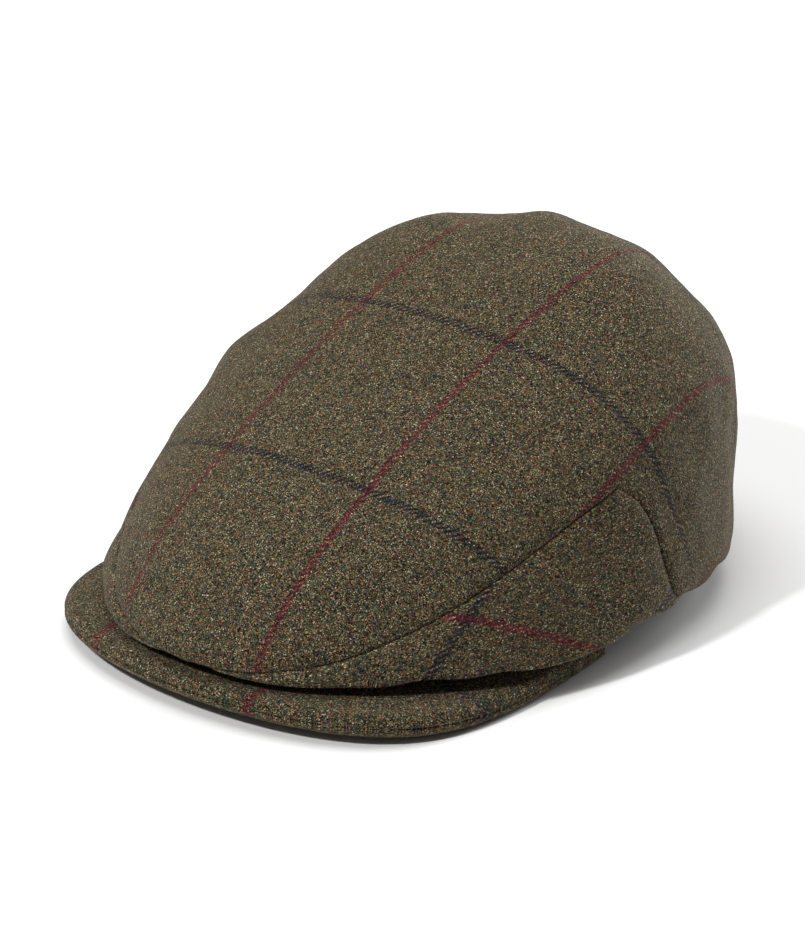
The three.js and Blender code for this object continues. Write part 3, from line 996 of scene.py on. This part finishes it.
FLECKS = [
    (0.00, srgb(6, 6, 5)), (0.17, srgb(34, 34, 22)), (0.29, srgb(66, 64, 40)),
    (0.44, srgb(47, 64, 46)), (0.54, srgb(103, 96, 60)), (0.66, srgb(39, 64, 58)),
    (0.75, srgb(134, 60, 40)), (0.80, srgb(138, 130, 96)), (0.885, srgb(96, 30, 38)),
    (0.91, srgb(148, 108, 56)), (0.935, srgb(56, 60, 92)), (0.965, srgb(174, 167, 141)),
]


def tweed(name, crimson_at, navy_at, navy_step=NAVY_STEP, navy_from=-1000.0):
    """Woollen two-and-two twill in mixed flecks. Crimson warp and navy weft lines cross it, the
    middle of one of each at the two places; no navy line lies before navy_from."""
    m = Shader(name)
    uv, u, v = m.cloth()
    wobble = m.noise(uv, 0.35, 1.0, output=1)
    shift = m.add("ShaderNodeSeparateXYZ", {"Vector": wobble})
    u = m.math("ADD", u, m.math("MULTIPLY", m.math("SUBTRACT", shift.outputs[0], 0.5), WOBBLE))
    v = m.math("ADD", v, m.math("MULTIPLY", m.math("SUBTRACT", shift.outputs[1], 0.5), WOBBLE))
    yarn_u, yarn_v = m.math("DIVIDE", u, YARN), m.math("DIVIDE", v, YARN)
    i, j = m.math("FLOOR", yarn_u), m.math("FLOOR", yarn_v)
    across_u, across_v = m.math("SUBTRACT", yarn_u, i), m.math("SUBTRACT", yarn_v, j)
    phase = m.math("FLOORED_MODULO", m.math("SUBTRACT", i, j), 4.0)
    warp_up = m.math("LESS_THAN", phase, 1.5)

    cell = m.chance(m.combine(i, j, warp_up))
    fleck_u = m.math("FLOOR", m.math("DIVIDE", u, FLECK))
    fleck_v = m.math("FLOOR", m.math("DIVIDE", v, FLECK))
    speck = m.chance(m.combine(fleck_u, fleck_v, 11.0))
    run_warp = m.combine(i, m.math("FLOOR", m.math("DIVIDE", v, RUN)), 3.0)
    run_weft = m.combine(m.math("FLOOR", m.math("DIVIDE", u, RUN)), j, 7.0)
    run = m.blend(warp_up, m.chance(run_weft), m.chance(run_warp))
    cloud = m.math("MULTIPLY", m.noise(uv, 0.09, 2.0), 0.35)
    fleck = m.math("FRACT", m.math("ADD", cloud, m.math("ADD", m.math("MULTIPLY", speck, 0.75),
                                                        m.math("MULTIPLY", run, 0.35))))
    colour = m.ramp(fleck, FLECKS, "CONSTANT")

    crimson = m.ramp(cell, [(0, srgb(74, 14, 30)), (0.5, srgb(104, 18, 40)),
                            (0.85, srgb(124, 30, 50))])
    navy = m.ramp(cell, [(0, srgb(18, 18, 30)), (0.6, srgb(28, 28, 46)), (0.9, srgb(44, 42, 60))])

    def in_line(yarn, at, step):
        from_edge = m.math("SUBTRACT", m.math("MULTIPLY", yarn, YARN), at - LINE_WIDTH / 2)
        return m.math("LESS_THAN", m.math("FLOORED_MODULO", from_edge, step), LINE_WIDTH - 0.1)

    in_crimson = in_line(i, crimson_at, CRIMSON_STEP)
    in_navy = m.math("MULTIPLY", in_line(j, navy_at, navy_step),
                     m.math("GREATER_THAN", v, navy_from))
    colour = m.blend(m.math("MULTIPLY", in_navy, m.math("SUBTRACT", 1.0, warp_up)), colour, navy)
    colour = m.blend(m.math("MULTIPLY", in_crimson, warp_up), colour, crimson)

    # Painted shade between the yarns: each yarn's colour darkens from its middle to its edges, along
    # the same profile that its bump follows. The fuzz noise, which also drives the bump, and a random
    # factor for each fleck vary the tone as well.
    profile = m.blend(warp_up, across_v, across_u)
    crown_of_yarn = m.math("SINE", m.math("MULTIPLY", profile, math.pi))
    gap = m.math("ADD", 0.40, m.math("MULTIPLY", crown_of_yarn, 0.66))
    fuzz = m.noise(uv, 5.5, 3.0)
    shade = m.math("MULTIPLY", gap, m.math("ADD", 0.3, m.math("MULTIPLY", fuzz, 0.9)))
    contrast = m.math("MULTIPLY", m.chance(m.combine(fleck_u, fleck_v, 13.0)), 2.0)
    shade = m.math("MULTIPLY", shade, m.math("ADD", 0.1, contrast))
    colour = m.blend(1.0, colour, m.combine(shade, shade, shade), "MULTIPLY")

    hair_field = m.noise(uv, 0.8, 2.5)
    hair = m.math("LESS_THAN", m.math("ABSOLUTE", m.math("SUBTRACT", hair_field, 0.53)), 0.006)
    hair = m.math("MULTIPLY", hair, m.math("MULTIPLY", m.chance(m.combine(i, j, 5.0)), 0.5))
    colour = m.blend(hair, colour, (*srgb(172, 164, 138), 1))
    height = m.math("ADD", m.math("MULTIPLY", crown_of_yarn, 0.6), fuzz)
    m.bump(height, 0.00012, 0.7)
    return m.finish(Base_Color=colour, Roughness=0.95, Specular_IOR_Level=0.12,
                    Sheen_Weight=0.13, Sheen_Roughness=0.45, Sheen_Tint=(0.80, 0.74, 0.60, 1))


def satin(name):
    """Smooth lining with fine diagonal yarns."""
    m = Shader(name)
    uv, u, v = m.cloth()
    line = m.math("SINE", m.math("MULTIPLY", m.math("ADD", u, v), 2 * math.pi / 0.35))
    cloud = m.noise(uv, 0.15, 3.0)
    colour = m.ramp(cloud, [(0.3, srgb(58, 45, 31)), (0.7, srgb(74, 58, 41))])
    m.bump(m.math("MULTIPLY", line, 0.5), 0.00004, 0.6)
    return m.finish(Base_Color=colour, Roughness=0.38, Specular_IOR_Level=0.45, Anisotropic=0.4,
                    Sheen_Weight=0.15)


def ribbed(name):
    """Cotton ribbon; its ribs are in the mesh, so this adds the threads that cross them."""
    m = Shader(name)
    uv, _, v = m.cloth()
    thread = m.math("SINE", m.math("MULTIPLY", v, 2 * math.pi / 0.4))
    cloud = m.noise(uv, 0.6, 4.0)
    colour = m.ramp(cloud, [(0.3, srgb(34, 30, 24)), (0.7, srgb(54, 47, 37))])
    m.bump(m.math("ADD", m.math("MULTIPLY", thread, 0.4), cloud), 0.00008, 0.7)
    return m.finish(Base_Color=colour, Roughness=0.75, Specular_IOR_Level=0.25, Sheen_Weight=0.2)


def woven_label(name):
    """Blank woven ribbon with a fine damask twill."""
    m = Shader(name)
    uv, u, v = m.cloth()
    twill = m.math("SINE", m.math("MULTIPLY", m.math("ADD", u, v), 2 * math.pi / 0.5))
    weave = m.math("MULTIPLY", twill, m.math("SINE", m.math("MULTIPLY", v, 2 * math.pi / 0.3)))
    colour = m.ramp(m.noise(uv, 0.9, 3.0), [(0.3, srgb(198, 188, 164)), (0.7, srgb(222, 213, 190))])
    m.bump(weave, 0.00004, 0.7)
    return m.finish(Base_Color=colour, Roughness=0.55, Sheen_Weight=0.2)


def thread(name, colour):
    """Twisted sewing thread."""
    m = Shader(name)
    at = m.add("ShaderNodeTexCoord").outputs["Object"]
    strand = m.noise(at, 2500.0, 2.0)
    shade = m.ramp(strand, [(0.3, tuple(0.7 * c for c in colour)), (0.7, colour)])
    m.bump(strand, 0.00005, 0.6)
    return m.finish(Base_Color=shade, Roughness=0.6)


def inner_layer(name, dark, light, scale, depth):
    """The peak's hidden board and wadding."""
    m = Shader(name)
    at = m.add("ShaderNodeTexCoord").outputs["Object"]
    cloud = m.noise(at, scale, 4.0)
    m.bump(cloud, depth, 0.6)
    return m.finish(Base_Color=m.ramp(cloud, [(0.3, dark), (0.7, light)]), Roughness=0.9)


def dress(pieces, material):
    for piece in pieces:
        piece.data.materials.clear()
        piece.data.materials.append(material)


# The crown's lines are placed in its own cloth: across from the centreline, along from the front.
crown_tweed = tweed("tweed_crown", crimson_at=29.8, navy_at=78.2, navy_from=40.0)
side_tweed = tweed("tweed_side_panels", crimson_at=0.0, navy_at=0.0, navy_step=SIDE_NAVY_STEP)
peak_tweed = tweed("tweed_peak", crimson_at=27.7 * PEAK_STRETCH, navy_at=-70.0)
lining_satin = satin("lining_satin")
band_ribbon = ribbed("sweatband_ribbon")
label_ribbon = woven_label("label_ribbon")
dark_thread = thread("dark_thread", srgb(70, 62, 48))

dress([crown_top], crown_tweed)
dress([side_left, side_right], side_tweed)
dress([peak_top, peak_under, upstand], peak_tweed)
dress([lining_top, lining_left, lining_right], lining_satin)
dress([sweatband, tape], band_ribbon)
dress([size_label, maker_label, care_label], label_ribbon)
dress([band_stitches, *tape_stitches], dark_thread)


def dress_cad_node(name, material):
    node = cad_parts[name]
    node.data.materials.clear()
    node.data.materials.append(material)


dress_cad_node("peak_board", inner_layer("peak_board_fibre", srgb(170, 160, 136),
                                         srgb(196, 186, 162), 900.0, 0.00005))
dress_cad_node("peak_wadding", inner_layer("peak_wadding_felt", srgb(214, 209, 198),
                                           srgb(236, 232, 223), 400.0, 0.0002))


# ---- What moves with what

for piece in (crown_top, side_left, side_right, lining_top, lining_left, lining_right, sweatband,
              band_stitches):
    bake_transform(piece)
for piece in (tape, size_label, maker_label, care_label, *tape_stitches):
    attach(piece, "crown")
for piece in (peak_top, peak_under):
    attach(piece, "peak")
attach(upstand, "peak")


# ---- Floor and light

def make_floor():
    bpy.ops.mesh.primitive_plane_add(size=12)
    floor = bpy.context.object
    floor.name = "floor"
    m = Shader("floor_paper")
    m.finish(Base_Color=(0.92, 0.92, 0.92, 1), Roughness=0.9, Specular_IOR_Level=0.1)
    floor.data.materials.append(m.material)


def area_light(name, direction, distance, size, power):
    data = bpy.data.lights.new(name, "AREA")
    data.shape = "DISK"
    data.size, data.energy = size, power
    light = bpy.data.objects.new(name, data)
    towards = unit(np.array(direction, float))
    light.location = CAMERA_TARGET + towards * distance
    light.rotation_mode = "QUATERNION"
    light.rotation_quaternion = Vector(towards).to_track_quat("Z", "Y")
    bpy.context.scene.collection.objects.link(light)


make_floor()
RIGHT = np.array([math.cos(CAMERA_AZIMUTH), math.sin(CAMERA_AZIMUTH), 0])
AWAY = np.array([-math.sin(CAMERA_AZIMUTH), math.cos(CAMERA_AZIMUTH), 0])
UP = np.array([0, 0, 1.0])
area_light("key", -0.81 * RIGHT - 0.59 * AWAY + 1.035 * UP, distance=2.0, size=0.22, power=25)
area_light("overhead", 0.22 * AWAY + 1.0 * UP, distance=2.2, size=2.4, power=43)
area_light("rim", 0.8 * RIGHT + 0.75 * AWAY + 0.28 * UP, distance=1.8, size=1.0, power=24)
world = bpy.data.worlds.new("studio")
world.use_nodes = True
world.node_tree.nodes["Background"].inputs["Color"].default_value = (1, 1, 1, 1)
world.node_tree.nodes["Background"].inputs["Strength"].default_value = 0.10
bpy.context.scene.world = world
bpy.context.scene.view_settings.view_transform = "Standard"
